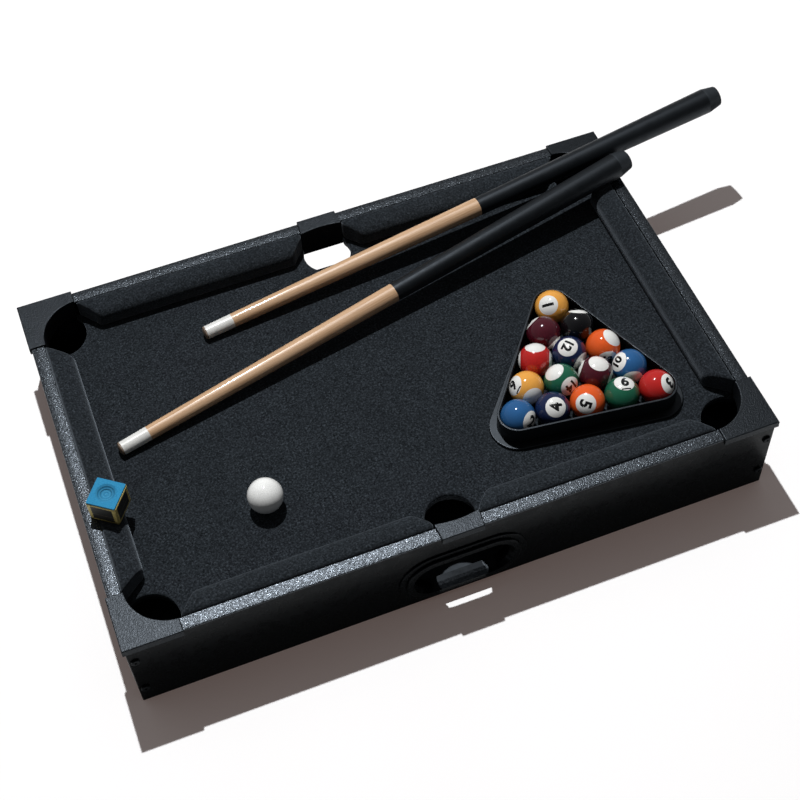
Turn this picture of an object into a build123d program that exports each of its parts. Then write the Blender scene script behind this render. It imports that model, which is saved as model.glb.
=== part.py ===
# Tabletop billiard game: a small pocket table with its cues, balls, rack and chalk.
# Millimetres. X runs along the table, Y across it and Z up.
# The origin is the middle of the underside, on the surface that the table stands on.
from build123d import *
from math import asin, atan2, cos, radians, sin, sqrt, tan
import os

os.makedirs("parts", exist_ok=True)

# Table
table_length = 510.0
table_width = 327.0
panel_thickness = 10.0
panel_edge_round = 0.8
strip_thickness = 1.0
strip_edge_round = 0.6
floor_thickness = 3.0
fit_gap = 0.1
seam_gap = 0.25
overrun = 20.0

# Playing surface
field_height = 65.7
rail_rise = 16.8
cloth_thickness = 0.8
field_thickness = 8.0
batten_width = 8.0
batten_height = 9.0
batten_end_gap = 14.0

# Pockets
corner_hole_inset_x = 24.0
corner_hole_inset_y = 24.5
corner_hole_radius = 22.7
side_hole_inset = 24.5
side_hole_radius = 20.5

# Cushions
cushion_depth = 20.0
cushion_drop = 0.5
cushion_crown_share = 0.45
cushion_crown_drop = 2.4
cushion_crown_radius = 30.0
cushion_nose_radius = 5.5
cushion_tuck_radius = 1.2
cushion_undercut = 2.6
cushion_corner_length = 16.5
cushion_side_length = 13.0
cushion_side_square = 5.5
jaw_radius = 12.0
jaw_heel_radius = 3.0

# Corner caps and side plates
cap_overhang = 1.6
cap_rise = 1.5
cap_skirt = 6.5
cap_reach_x = 43.6
cap_reach_y = 44.5
cap_arc_radius = 33.0
cap_arc_inset_x = 45.0
cap_arc_inset_y = 43.0
cap_edge_round = 0.8
liner_thickness = 1.6
liner_gap = 0.6
plate_liner_depth = 5.7
plate_outer_width = 33.2
plate_inner_width = 36.0
plate_lip = 3.4
plate_arc_rise = 2.0

# Ball returns
return_width = 77.0
return_height = 39.0
return_centre = 32.5
return_wall = 2.0
return_collar = 4.0
bezel_width = 103.0
bezel_height = 58.0
bezel_thickness = 1.4
bezel_round = 0.8
ridge_width = 93.0
ridge_height = 49.0
ridge_thickness = 3.4
ridge_land = 5.4
ridge_round = 1.2
funnel_step = 1.0
runway_thickness = 2.5
runway_rise = 20.0
bay_width = 124.0

# Panel screws
screw_head_radius = 3.4
screw_head_height = 1.8
screw_head_round = 0.9
screw_radius = 1.7
screw_length = 26.0
screw_low = 19.0
screw_high = 62.0
drive_radius = 1.1
drive_depth = 0.9

# Balls and rack
ball_radius = 13.65
ball_gap = 0.35
rest_gap = 0.3
rack_heading = -97.55
rack_end_gap = 15.82
rack_front_share = 0.1858
rack_rows = 5
rack_gap = 0.45
rack_wall = 1.9
rack_height = 18.0
rack_rim_round = 0.5
rack_flange = 2.0
rack_flange_corner = 6.0
rack_flange_round = 0.8
rack_flange_apex = 1.6
cue_ball_from_left = 101.3
cue_ball_from_front = 55.2

# Numbers of the balls in each row, from the apex to the base
rack_order = [[1], [7, 8], [11, 12, 13], [9, 14, 15, 10], [2, 4, 5, 6, 3]]

# Cues
cue_length = 489.3
cue_tip_length = 2.6
cue_ferrule_length = 23.2
cue_butt_start = 253.0
cue_bumper_length = 12.0
cue_bumper_land = 1.0
cue_tip_radius = 5.5
cue_joint_radius = 7.8
cue_butt_radius = 10.9
cue_bumper_end_radius = 8.7
cue_tip_dome = 1.4
tenon_radius = 3.0
tenon_length = 12.0
cue_a_tip_share = 0.54227
cue_a_tip_inset = 42.67
cue_a_edge_inset = 0.08
cue_b_tip_share = 0.95342
cue_b_tip_inset = 125.71
butt_spread = 20.64

# Chalk
chalk_width = 22.5
chalk_height = 21.3
chalk_round = 0.8
chalk_from_left = 21.8
chalk_from_front = 115.6
chalk_turn = -37.0
dimple_radius = 8.2
dimple_depth = 1.7

# Sizes that follow from the ones above
half_length = table_length / 2
half_width = table_width / 2
inside_x = half_length - panel_thickness
inside_y = half_width - panel_thickness
rail_height = field_height + rail_rise
panel_height = rail_height - strip_thickness
cap_height = rail_height + cap_rise
cloth_base = field_height - cloth_thickness
field_base = cloth_base - field_thickness
cap_end_x = half_length - cap_reach_x
cap_end_y = half_width - cap_reach_y
cap_arc_x = half_length - cap_arc_inset_x
cap_arc_y = half_width - cap_arc_inset_y
corner_hole_x = half_length - corner_hole_inset_x
corner_hole_y = half_width - corner_hole_inset_y
side_hole_y = half_width - side_hole_inset
nose_x = inside_x - cushion_depth
nose_y = inside_y - cushion_depth
pitch = 2 * ball_radius + ball_gap
row_depth = pitch * sqrt(3) / 2
ball_height = field_height + rest_gap + ball_radius
last_row = rack_rows - 1
rack_outer = ball_radius + rack_gap + rack_wall


def cue_radius(along):
    """Radius of a cue at this distance from its tip."""
    if along < cue_butt_start:
        return cue_tip_radius + (cue_joint_radius - cue_tip_radius) * along / cue_butt_start
    share = (along - cue_butt_start) / (cue_length - cue_butt_start)
    return cue_joint_radius + (cue_butt_radius - cue_joint_radius) * share


# Where the cues lie: both are placed from the back cushions, and their butts stay side by side.
cue_a_edge_x = cap_arc_x + cap_arc_radius
cue_a_tip_x = -cue_a_tip_share * nose_x
cue_a_tip_y = nose_y - cue_a_tip_inset
cue_a_heading = atan2(cue_a_tip_inset - cue_a_edge_inset, cue_a_edge_x - cue_a_tip_x)
cue_b_tip_x = -cue_b_tip_share * nose_x
cue_b_tip_y = nose_y - cue_b_tip_inset
tip_step_x = cue_a_tip_x - cue_b_tip_x
tip_step_y = cue_a_tip_y - cue_b_tip_y
tip_spread = tip_step_y * cos(cue_a_heading) - tip_step_x * sin(cue_a_heading)
cue_b_heading = cue_a_heading + asin((tip_spread - butt_spread) / cue_length)

# Where the rack lies: near the right cushion, in the room between the front one and the cues.
rack_along_x = cos(radians(rack_heading))
rack_along_y = sin(radians(rack_heading))
rack_corner_reach = rack_outer + rack_flange_corner
rack_reach_x = last_row * (row_depth * rack_along_x - pitch * rack_along_y / 2) + rack_corner_reach
rack_reach_y = -last_row * (row_depth * rack_along_y + pitch * rack_along_x / 2) + rack_corner_reach
rack_apex_x = nose_x - rack_end_gap - rack_reach_x
cue_run = (rack_apex_x - cue_b_tip_x) / cos(cue_b_heading)
cue_room = (cue_radius(cue_run) + rack_outer + rack_flange_apex) / cos(cue_b_heading)
rack_back_y = cue_b_tip_y + (rack_apex_x - cue_b_tip_x) * tan(cue_b_heading) - cue_room
rack_front_y = rack_reach_y - nose_y
rack_apex_y = rack_front_y + rack_front_share * (rack_back_y - rack_front_y)

quadrants = [(-1, -1, "front_left"), (1, -1, "front_right"), (-1, 1, "back_left"), (1, 1, "back_right")]
long_sides = [(-1, "front"), (1, "back")]
short_sides = [(-1, "left"), (1, "right")]


def finish(piece, node):
    """Name one finished piece and write it."""
    piece.part.label = node
    export_step(piece.part, f"parts/{node}.step")


def side_plane(side, distance):
    """Upright plane across the table's width, at this distance from the middle."""
    return Plane.XZ.offset(-side * distance)


# Panels: the long ones run the full length and the short ones stand between them.
screw_x = half_length - panel_thickness / 2
screw_spots = [(x, z) for x in (-screw_x, screw_x) for z in (screw_low, screw_high)]

for side, name in long_sides:
    with BuildPart() as long_panel:
        with BuildSketch(side_plane(side, half_width)):
            Rectangle(table_length, panel_height, align=(Align.CENTER, Align.MIN))
            with Locations((0, return_centre)):
                SlotOverall(return_width + 2 * (return_wall + fit_gap),
                            return_height + 2 * (return_wall + fit_gap), mode=Mode.SUBTRACT)
            with Locations(*screw_spots):
                Circle(screw_radius + fit_gap, mode=Mode.SUBTRACT)
        extrude(amount=side * panel_thickness)
        outer_face = long_panel.faces().sort_by(Axis.Y)[0 if side < 0 else -1]
        fillet(outer_face.edges().filter_by(GeomType.LINE).filter_by(Axis.Z), panel_edge_round)
    finish(long_panel, f"{name}_panel")

for side, name in short_sides:
    with BuildPart() as short_panel:
        with BuildSketch(Plane.YZ.offset(side * half_length)):
            Rectangle(2 * inside_y, panel_height, align=(Align.CENTER, Align.MIN))
        extrude(amount=-side * panel_thickness)
        for end in (-1, 1):
            with BuildSketch(side_plane(end, inside_y)):
                with Locations(*[(x, z) for x, z in screw_spots if x * side > 0]):
                    Circle(screw_radius + fit_gap)
            extrude(amount=end * (screw_length - panel_thickness + fit_gap), mode=Mode.SUBTRACT)
    finish(short_panel, f"{name}_panel")

# Screws: two through each end of each long panel into the short panel's end grain.
with BuildPart() as panel_screws:
    for side in (-1, 1):
        face = side_plane(side, half_width)
        with BuildSketch(face):
            with Locations(*screw_spots):
                Circle(screw_radius)
        extrude(amount=side * screw_length)
        with BuildSketch(face):
            with Locations(*screw_spots):
                Circle(screw_head_radius)
        extrude(amount=-side * screw_head_height)
        heads = panel_screws.faces().group_by(Axis.Y)[0 if side < 0 else -1]
        fillet(heads.edges(), screw_head_round)
        with BuildSketch(side_plane(side, half_width + screw_head_height)):
            with Locations(*screw_spots):
                RegularPolygon(drive_radius, 6)
        extrude(amount=side * drive_depth, mode=Mode.SUBTRACT)
finish(panel_screws, "panel_screws")

# Floor, end battens and the two runways that bring balls back to the middle bay.
with BuildPart() as floor_board:
    with BuildSketch():
        Rectangle(2 * (inside_x - fit_gap), 2 * (inside_y - fit_gap))
    extrude(amount=floor_thickness)
finish(floor_board, "floor_board")

batten_length = 2 * (cap_end_y - batten_end_gap)
for side, name in short_sides:
    with BuildPart() as batten:
        with BuildSketch(Plane.XY.offset(field_base - batten_height)):
            with Locations((side * (inside_x - batten_width / 2), 0)):
                Rectangle(batten_width, batten_length)
        extrude(amount=batten_height)
    finish(batten, f"field_batten_{name}")

runway_end = inside_x - fit_gap
runway_start = bay_width / 2
runway_slope = runway_rise / (runway_end - runway_start)
runway_foot = floor_thickness + runway_thickness
for side, name in short_sides:
    with BuildPart() as runway:
        with BuildSketch(Plane.XZ):
            with BuildLine():
                Polyline(
                    (side * runway_end, floor_thickness),
                    (side * runway_end, runway_foot + runway_rise),
                    (side * runway_start, runway_foot),
                    (side * runway_start, floor_thickness),
                    (side * (runway_end - runway_thickness),
                     floor_thickness + runway_rise - runway_slope * runway_thickness),
                    (side * (runway_end - runway_thickness), floor_thickness),
                    close=True,
                )
            make_face()
        extrude(amount=inside_y - fit_gap, both=True)
    finish(runway, f"runway_{name}")


def field_outline():
    """Draw the playing surface with its six pockets in the sketch that is open."""
    Rectangle(2 * (inside_x - fit_gap), 2 * (inside_y - fit_gap))
    with Locations(*[(sx * corner_hole_x, sy * corner_hole_y) for sx, sy, _ in quadrants]):
        Circle(corner_hole_radius, mode=Mode.SUBTRACT)
    with Locations(*[(0, sy * side_hole_y) for sy in (-1, 1)]):
        Circle(side_hole_radius, mode=Mode.SUBTRACT)
    with Locations(*[(0, sy * (side_hole_y + side_hole_inset / 2)) for sy in (-1, 1)]):
        Rectangle(plate_inner_width + 2 * seam_gap, side_hole_inset, mode=Mode.SUBTRACT)


with BuildPart() as field_board:
    with BuildSketch(Plane.XY.offset(field_base)):
        field_outline()
    extrude(amount=field_thickness)
finish(field_board, "field_board")

with BuildPart() as field_cloth:
    with BuildSketch(Plane.XY.offset(cloth_base)):
        field_outline()
    extrude(amount=cloth_thickness)
finish(field_cloth, "field_cloth")

# Cushions: one section drawn along the rail, cut to a plan with slanted jaws.
cushion_top = rail_height - cushion_drop


def cushion_section(side, rail, nose):
    """Draw a cushion's section between its rail and its nose in the sketch that is open."""
    tuck_point = (side * rail, cushion_top)
    crown_point = (side * (rail - cushion_crown_share * cushion_depth), cushion_top)
    nose_point = (side * nose, cushion_top - cushion_crown_drop)
    Polygon(
        (side * rail, field_height),
        tuck_point,
        crown_point,
        nose_point,
        (side * (nose + cushion_undercut), field_height),
        align=None,
    )
    rounds = [
        (tuck_point, cushion_tuck_radius),
        (crown_point, cushion_crown_radius),
        (nose_point, cushion_nose_radius),
    ]
    for corner, radius in rounds:
        fillet(vertices().sort_by_distance(Vector(*corner))[0], radius)


def jaw_outline(points, noses, heels):
    """Draw a cushion's plan with rounded jaws in the sketch that is open."""
    Polygon(*points, align=None)
    for corner in noses:
        fillet(vertices().sort_by_distance(Vector(*corner))[0], jaw_radius)
    for corner in heels:
        fillet(vertices().sort_by_distance(Vector(*corner))[0], jaw_heel_radius)


heel_x = plate_inner_width / 2 + seam_gap
for sx, sy, name in quadrants:
    side_nose = (sx * (heel_x + cushion_side_length), sy * nose_y)
    side_heel = (sx * heel_x, sy * (inside_y - cushion_side_square))
    side_end = (sx * heel_x, sy * inside_y)
    corner_nose = (sx * (cap_end_x - cushion_corner_length), sy * nose_y)
    corner_end = (sx * (cap_end_x - seam_gap), sy * inside_y)
    with BuildPart() as long_cushion:
        with BuildSketch(Plane.YZ):
            cushion_section(sy, inside_y, nose_y)
        extrude(amount=sx * inside_x)
        with BuildSketch(Plane.XY.offset(field_height)):
            jaw_outline(
                [side_end, side_heel, side_nose, corner_nose, corner_end],
                [side_nose, corner_nose],
                [side_heel],
            )
        extrude(amount=rail_height - field_height, mode=Mode.INTERSECT)
    finish(long_cushion, f"cushion_{name}")

for side, name in short_sides:
    noses = [(side * nose_x, sy * (cap_end_y - cushion_corner_length)) for sy in (-1, 1)]
    ends = [(side * inside_x, sy * (cap_end_y - seam_gap)) for sy in (-1, 1)]
    with BuildPart() as end_cushion:
        with BuildSketch(Plane.XZ):
            cushion_section(side, inside_x, nose_x)
        extrude(amount=cap_end_y, both=True)
        with BuildSketch(Plane.XY.offset(field_height)):
            jaw_outline([ends[0], noses[0], noses[1], ends[1]], noses, [])
        extrude(amount=rail_height - field_height, mode=Mode.INTERSECT)
    finish(end_cushion, f"cushion_{name}")

# Rail strips: vinyl on top of the panels, between the caps and the side plates.
plate_edge_y = inside_y - plate_lip
plate_outer_y = half_width + cap_overhang
plate_flare = (plate_inner_width - plate_outer_width) / 2 / (plate_outer_y - plate_edge_y)


def plate_side(y):
    """Half the width of a side plate at this distance from the table's middle line."""
    return plate_outer_width / 2 + plate_flare * (plate_outer_y - y)


strip_end = cap_end_x - seam_gap
for sx, sy, name in quadrants:
    with BuildPart() as long_strip:
        with BuildSketch(Plane.XY.offset(panel_height)):
            Polygon(
                (sx * (plate_side(half_width) + seam_gap), sy * half_width),
                (sx * strip_end, sy * half_width),
                (sx * strip_end, sy * inside_y),
                (sx * (plate_side(inside_y) + seam_gap), sy * inside_y),
                align=None,
            )
        extrude(amount=strip_thickness)
        top_edges = long_strip.edges().filter_by(Axis.X).group_by(Axis.Z)[-1]
        fillet(top_edges.sort_by(Axis.Y)[0 if sy < 0 else -1], strip_edge_round)
    finish(long_strip, f"rail_strip_{name}")

for side, name in short_sides:
    with BuildPart() as end_strip:
        with BuildSketch(Plane.XY.offset(panel_height)):
            with Locations((side * (half_length - panel_thickness / 2), 0)):
                Rectangle(panel_thickness, 2 * (cap_end_y - seam_gap))
        extrude(amount=strip_thickness)
        top_edges = end_strip.edges().filter_by(Axis.Y).group_by(Axis.Z)[-1]
        fillet(top_edges.sort_by(Axis.X)[0 if side < 0 else -1], strip_edge_round)
    finish(end_strip, f"rail_strip_{name}")

# Corner caps: a plate with a concave pocket edge, a skirt outside and a liner inside.
panel_outline = (table_length + 2 * fit_gap, table_width + 2 * fit_gap)
inside_outline = (2 * (inside_x - fit_gap), 2 * (inside_y - fit_gap))
cap_length = cap_reach_x + cap_overhang
cap_width = cap_reach_y + cap_overhang
liner_base = field_height + liner_gap
for sx, sy, name in quadrants:
    cap_centre = (sx * (cap_end_x + cap_length / 2), sy * (cap_end_y + cap_width / 2))
    arc_centre = (sx * cap_arc_x, sy * cap_arc_y)
    with BuildPart() as corner_cap:
        with BuildSketch(Plane.XY.offset(panel_height)):
            with Locations(cap_centre):
                Rectangle(cap_length, cap_width)
            with Locations(arc_centre):
                Circle(cap_arc_radius, mode=Mode.SUBTRACT)
        extrude(amount=cap_height - panel_height)
        with BuildSketch(Plane.XY.offset(cap_height - cap_skirt)):
            with Locations(cap_centre):
                Rectangle(cap_length, cap_width)
            Rectangle(*panel_outline, mode=Mode.SUBTRACT)
        extrude(amount=cap_skirt)
        with BuildSketch(Plane.XY.offset(liner_base)):
            with Locations(arc_centre):
                Circle(cap_arc_radius + liner_thickness)
            with Locations(cap_centre):
                Rectangle(cap_length, cap_width, mode=Mode.INTERSECT)
            with Locations(arc_centre):
                Circle(cap_arc_radius, mode=Mode.SUBTRACT)
            Rectangle(*inside_outline, mode=Mode.INTERSECT)
        extrude(amount=cap_height - liner_base)
        fillet(corner_cap.faces().sort_by(Axis.Z)[-1].edges(), cap_edge_round)
    finish(corner_cap, f"corner_cap_{name}")

# Side plates: a short plate with a shallow pocket edge, a skirt and a liner.
plate_arc = (plate_inner_width**2 / 4 + plate_arc_rise**2) / (2 * plate_arc_rise)
plate_base = field_height - plate_liner_depth
for side, name in long_sides:
    with BuildPart() as side_plate:
        with BuildSketch(Plane.XY.offset(plate_base)):
            Polygon(
                (-plate_outer_width / 2, side * plate_outer_y),
                (plate_outer_width / 2, side * plate_outer_y),
                (plate_inner_width / 2, side * plate_edge_y),
                (-plate_inner_width / 2, side * plate_edge_y),
                align=None,
            )
            with Locations((0, side * (plate_edge_y + plate_arc_rise - plate_arc))):
                Circle(plate_arc, mode=Mode.SUBTRACT)
        extrude(amount=cap_height - plate_base)
        with BuildSketch(Plane.XY.offset(plate_base)):
            with Locations((0, side * (half_width - panel_thickness / 2))):
                Rectangle(2 * plate_inner_width, panel_thickness + 2 * fit_gap)
        extrude(amount=panel_height - plate_base, mode=Mode.SUBTRACT)
        with BuildSketch(Plane.XY.offset(plate_base)):
            with Locations((0, side * (half_width + overrun / 2))):
                Rectangle(2 * plate_inner_width, overrun)
        extrude(amount=cap_height - cap_skirt - plate_base, mode=Mode.SUBTRACT)
        fillet(side_plate.faces().sort_by(Axis.Z)[-1].edges(), cap_edge_round)
    finish(side_plate, f"side_plate_{name}")

# Return bezels: a flange, a rounded ridge and a funnel that lines the slot.
for side, name in long_sides:
    with BuildPart() as bezel:
        with BuildSketch(side_plane(side, half_width)):
            with Locations((0, return_centre)):
                SlotOverall(bezel_width, bezel_height)
        extrude(amount=-side * bezel_thickness)
        outside = bezel.faces().sort_by(Axis.Y)[0 if side < 0 else -1]
        fillet(outside.edges(), bezel_round)
        with BuildSketch(side_plane(side, half_width)):
            with Locations((0, return_centre)):
                SlotOverall(ridge_width, ridge_height)
        extrude(amount=-side * ridge_thickness)
        outside = bezel.faces().sort_by(Axis.Y)[0 if side < 0 else -1]
        fillet(outside.edges(), ridge_round)
        with BuildSketch(side_plane(side, half_width)):
            with Locations((0, return_centre)):
                SlotOverall(return_width + 2 * return_wall, return_height + 2 * return_wall)
        extrude(amount=side * return_collar)
        with BuildSketch(side_plane(side, half_width + ridge_thickness)):
            with Locations((0, return_centre)):
                SlotOverall(ridge_width - 2 * ridge_land, ridge_height - 2 * ridge_land)
        with BuildSketch(side_plane(side, half_width - funnel_step)):
            with Locations((0, return_centre)):
                SlotOverall(return_width, return_height)
        loft(mode=Mode.SUBTRACT)
        with BuildSketch(side_plane(side, half_width)):
            with Locations((0, return_centre)):
                SlotOverall(return_width, return_height)
        extrude(amount=side * (panel_thickness + fit_gap), mode=Mode.SUBTRACT)
    finish(bezel, f"return_bezel_{name}")

# Balls: fifteen in the rack and the cue ball by itself.
rack_dir = Vector(rack_along_x, rack_along_y)
rack_across = Vector(-rack_along_y, rack_along_x)
rack_apex = Vector(rack_apex_x, rack_apex_y)
cue_ball_x = cue_ball_from_left - nose_x
cue_ball_y = cue_ball_from_front - nose_y


def rack_spot(row, place):
    """Middle of the ball at this row from the apex and this place along the row."""
    return rack_apex + rack_dir * (row * row_depth) + rack_across * ((place - row / 2) * pitch)


for row, numbers in enumerate(rack_order):
    for place, number in enumerate(numbers):
        spot = rack_spot(row, place)
        with BuildPart() as ball:
            with Locations((spot.X, spot.Y, ball_height)):
                Sphere(ball_radius)
        finish(ball, f"ball_{number}")

with BuildPart() as cue_ball:
    with Locations((cue_ball_x, cue_ball_y, ball_height)):
        Sphere(ball_radius)
finish(cue_ball, "cue_ball")

# Rack: a thin upright wall round the balls on a flange that widens towards the base.
rack_corners = [rack_spot(0, 0), rack_spot(last_row, 0), rack_spot(last_row, last_row)]
rack_base = field_height + rest_gap
rack_inner = ball_radius + rack_gap


def rack_outline(apex_radius, base_radius):
    """Draw a rounded triangle round the three corner balls in the sketch that is open."""
    for corner, radius in zip(rack_corners, (apex_radius, base_radius, base_radius)):
        with Locations((corner.X, corner.Y)):
            Circle(radius)
    make_hull()


with BuildPart() as ball_rack:
    with BuildSketch(Plane.XY.offset(rack_base)):
        rack_outline(rack_outer + rack_flange_apex, rack_outer + rack_flange_corner)
    extrude(amount=rack_flange)
    fillet(ball_rack.edges().group_by(Axis.Z)[-1], rack_flange_round)
    with BuildSketch(Plane.XY.offset(rack_base)):
        rack_outline(rack_outer, rack_outer)
    extrude(amount=rack_height)
    with BuildSketch(Plane.XY.offset(rack_base)):
        rack_outline(rack_inner, rack_inner)
    extrude(amount=rack_height, mode=Mode.SUBTRACT)
    fillet(ball_rack.faces().sort_by(Axis.Z)[-1].edges(), rack_rim_round)
finish(ball_rack, "ball_rack")


# Cues: turned pieces on one axis, from the leather tip to the rubber bumper.
def cue_plane(tip_x, tip_y, heading, edge_x, edge_height):
    """Plane of a cue with its tip on the cloth and its butt on a rail's edge, if it reaches that far."""
    run = (edge_x - tip_x) / cos(heading)
    lift = 0.0
    for _ in range(4):
        across = cue_radius(run / cos(lift))
        rise = edge_height - field_height + (across - cue_tip_radius) / cos(lift)
        lift = atan2(rise, run)
    if run > cue_length * cos(lift):
        lift = asin((cue_butt_radius - cue_tip_radius) / cue_length)
    along = Vector(cos(lift) * cos(heading), cos(lift) * sin(heading), sin(lift))
    across = Vector(sin(heading), -cos(heading), 0)
    tip_height = field_height + rest_gap + cue_tip_radius / cos(lift)
    return Plane(origin=(tip_x, tip_y, tip_height), x_dir=along, z_dir=across)


ferrule_end = cue_tip_length + cue_ferrule_length
bumper_start = cue_length - cue_bumper_length
leather_radius = cue_tip_radius - fit_gap
cue_places = [
    ("cue_a", cue_plane(cue_a_tip_x, cue_a_tip_y, cue_a_heading, cue_a_edge_x, cap_height)),
    ("cue_b", cue_plane(cue_b_tip_x, cue_b_tip_y, cue_b_heading, inside_x, rail_height)),
]
for name, place in cue_places:
    axis = Axis(place.origin, place.x_dir)

    with BuildPart() as cue_tip:
        with BuildSketch(place):
            with BuildLine():
                Polyline(
                    (0, 0),
                    (cue_tip_length, 0),
                    (cue_tip_length, leather_radius),
                    (cue_tip_dome, leather_radius),
                )
                TangentArc((0, 0), (cue_tip_dome, leather_radius), tangent=(0, 1))
            make_face()
        revolve(axis=axis)
    finish(cue_tip, f"{name}_tip")

    with BuildPart() as cue_ferrule:
        with BuildSketch(place):
            with BuildLine():
                Polyline(
                    (cue_tip_length, 0),
                    (cue_tip_length, cue_radius(cue_tip_length)),
                    (ferrule_end, cue_radius(ferrule_end)),
                    (ferrule_end, tenon_radius + fit_gap),
                    (ferrule_end - tenon_length - fit_gap, tenon_radius + fit_gap),
                    (ferrule_end - tenon_length - fit_gap, 0),
                    close=True,
                )
            make_face()
        revolve(axis=axis)
    finish(cue_ferrule, f"{name}_ferrule")

    with BuildPart() as cue_shaft:
        with BuildSketch(place):
            with BuildLine():
                Polyline(
                    (ferrule_end - tenon_length, 0),
                    (ferrule_end - tenon_length, tenon_radius),
                    (ferrule_end, tenon_radius),
                    (ferrule_end, cue_radius(ferrule_end)),
                    (cue_butt_start, cue_radius(cue_butt_start)),
                    (cue_butt_start, 0),
                    close=True,
                )
            make_face()
        revolve(axis=axis)
    finish(cue_shaft, f"{name}_shaft")

    with BuildPart() as cue_butt:
        with BuildSketch(place):
            with BuildLine():
                Polyline(
                    (cue_butt_start, 0),
                    (cue_butt_start, cue_radius(cue_butt_start)),
                    (bumper_start, cue_radius(bumper_start)),
                    (bumper_start, 0),
                    close=True,
                )
            make_face()
        revolve(axis=axis)
    finish(cue_butt, f"{name}_butt")

    with BuildPart() as cue_bumper:
        with BuildSketch(place):
            with BuildLine():
                Polyline(
                    (bumper_start, 0),
                    (bumper_start, cue_radius(bumper_start)),
                    (bumper_start + cue_bumper_land, cue_radius(bumper_start)),
                    (cue_length, cue_bumper_end_radius),
                    (cue_length, 0),
                    close=True,
                )
            make_face()
        revolve(axis=axis)
    finish(cue_bumper, f"{name}_bumper")

# Chalk: a cube with a worn hollow in its top, standing across the rail and the cushion.
chalk_x = chalk_from_left - half_length
chalk_y = chalk_from_front - half_width
chalk_base = rail_height + rest_gap
chalk_plane = Plane(
    origin=(chalk_x, chalk_y, chalk_base),
    x_dir=(cos(radians(chalk_turn)), sin(radians(chalk_turn)), 0),
    z_dir=(0, 0, 1),
)
dimple_sphere = (dimple_radius**2 + dimple_depth**2) / (2 * dimple_depth)
with BuildPart() as chalk:
    with BuildSketch(chalk_plane):
        RectangleRounded(chalk_width, chalk_width, chalk_round)
    extrude(amount=chalk_height)
    with Locations((chalk_x, chalk_y, chalk_base + chalk_height + dimple_sphere - dimple_depth)):
        Sphere(dimple_sphere, mode=Mode.SUBTRACT)
finish(chalk, "chalk")
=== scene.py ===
from math import cos, hypot, pi, radians, sin

import bmesh
import bpy
import numpy as np
from mathutils import Euler, Matrix, Vector, noise
from mathutils.geometry import delaunay_2d_cdt


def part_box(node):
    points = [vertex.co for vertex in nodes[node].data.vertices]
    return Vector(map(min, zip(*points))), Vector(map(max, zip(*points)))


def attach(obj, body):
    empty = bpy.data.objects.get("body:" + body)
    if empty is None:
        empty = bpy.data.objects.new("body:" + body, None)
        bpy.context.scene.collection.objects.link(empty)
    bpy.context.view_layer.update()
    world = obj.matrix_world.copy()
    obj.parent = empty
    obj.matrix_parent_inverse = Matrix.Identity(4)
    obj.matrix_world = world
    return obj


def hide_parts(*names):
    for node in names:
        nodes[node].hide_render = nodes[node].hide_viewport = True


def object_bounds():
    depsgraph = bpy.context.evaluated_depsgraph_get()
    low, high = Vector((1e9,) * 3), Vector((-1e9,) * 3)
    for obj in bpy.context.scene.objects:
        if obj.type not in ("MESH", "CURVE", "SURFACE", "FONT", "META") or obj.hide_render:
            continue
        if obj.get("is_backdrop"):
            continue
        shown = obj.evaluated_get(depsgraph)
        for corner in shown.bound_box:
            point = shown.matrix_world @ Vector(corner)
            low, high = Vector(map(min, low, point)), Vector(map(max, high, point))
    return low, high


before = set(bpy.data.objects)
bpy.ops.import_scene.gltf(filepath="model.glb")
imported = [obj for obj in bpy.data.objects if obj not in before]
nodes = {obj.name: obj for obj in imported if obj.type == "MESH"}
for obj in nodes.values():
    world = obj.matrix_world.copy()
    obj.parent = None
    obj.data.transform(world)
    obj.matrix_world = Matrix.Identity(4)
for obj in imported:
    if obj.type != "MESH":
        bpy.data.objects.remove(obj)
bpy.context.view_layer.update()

MM = 0.001
quadrants = ["front_left", "front_right", "back_left", "back_right"]
rails = quadrants + ["left", "right"]
cues = ["cue_a", "cue_b"]

# Camera, as the photograph has it: places in metres, angles in degrees, lens and sensor in millimetres
camera_place = (-0.2118, -0.6826, 1.0504)
camera_turn = (35.004, 1.946, -20.873)
camera_lens = 69.2
camera_sensor = 36.0
nearest_seen, farthest_seen = 0.01, 20.0

# Light: one small lamp, and a fill that leans towards the back
lamp_place = (-0.0238, 0.6873, 1.9691)
lamp_power = 39.8
lamp_radius = 0.016
lamp_colour = (0.985, 1.0, 1.01)
fill_colour = (0.97, 0.98, 1.0)
fill_strength = 0.125
fill_lean = 0.75

# Floor: the camera sees a faint glow in it, which gets stronger far from the lamp
floor_half = 3.0
floor_grain = 0.4
floor_tones = (0.94, 0.96)
floor_glow = 0.056
floor_glow_colour = (1.0, 0.6, 0.47)
far_glow = 0.2
far_starts, far_ends = 1.15, 1.45

# Tints of the dark materials and of their gloss
cool = (0.84, 1.0, 1.18)
cool_shine = (0.86, 0.97, 1.1)
white = (1.0, 1.0, 1.0)

# Vinyl strips
vinyl_grain = 0.95 * MM
vinyl_depth = 0.25 * MM
vinyl_crease = 0.03 * MM
vinyl_crease_cell = 1.6 * vinyl_grain
vinyl_roll = 0.38 * MM
vinyl_roll_share = 0.2

# Cushions
cushion_voxel = 1.1 * MM
cushion_smoothings = 15
cushion_rise = 2.5 * MM
cushion_tuck = 1.4 * MM
cushion_tuck_share = 0.16
cushion_fill_out = 2.4 * MM
cushion_nose_share = 0.25
cushion_waviness = 0.14 * MM
cushion_waves_per_metre = 95
cushion_side_wave_share = 0.6
pucker_strength = 1.4
pucker_reach = 22 * MM
cue_reach = 11.2 * MM
cue_dent_radius = 2.5 * cue_reach
rest_clearance = 0.35 * MM

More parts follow.
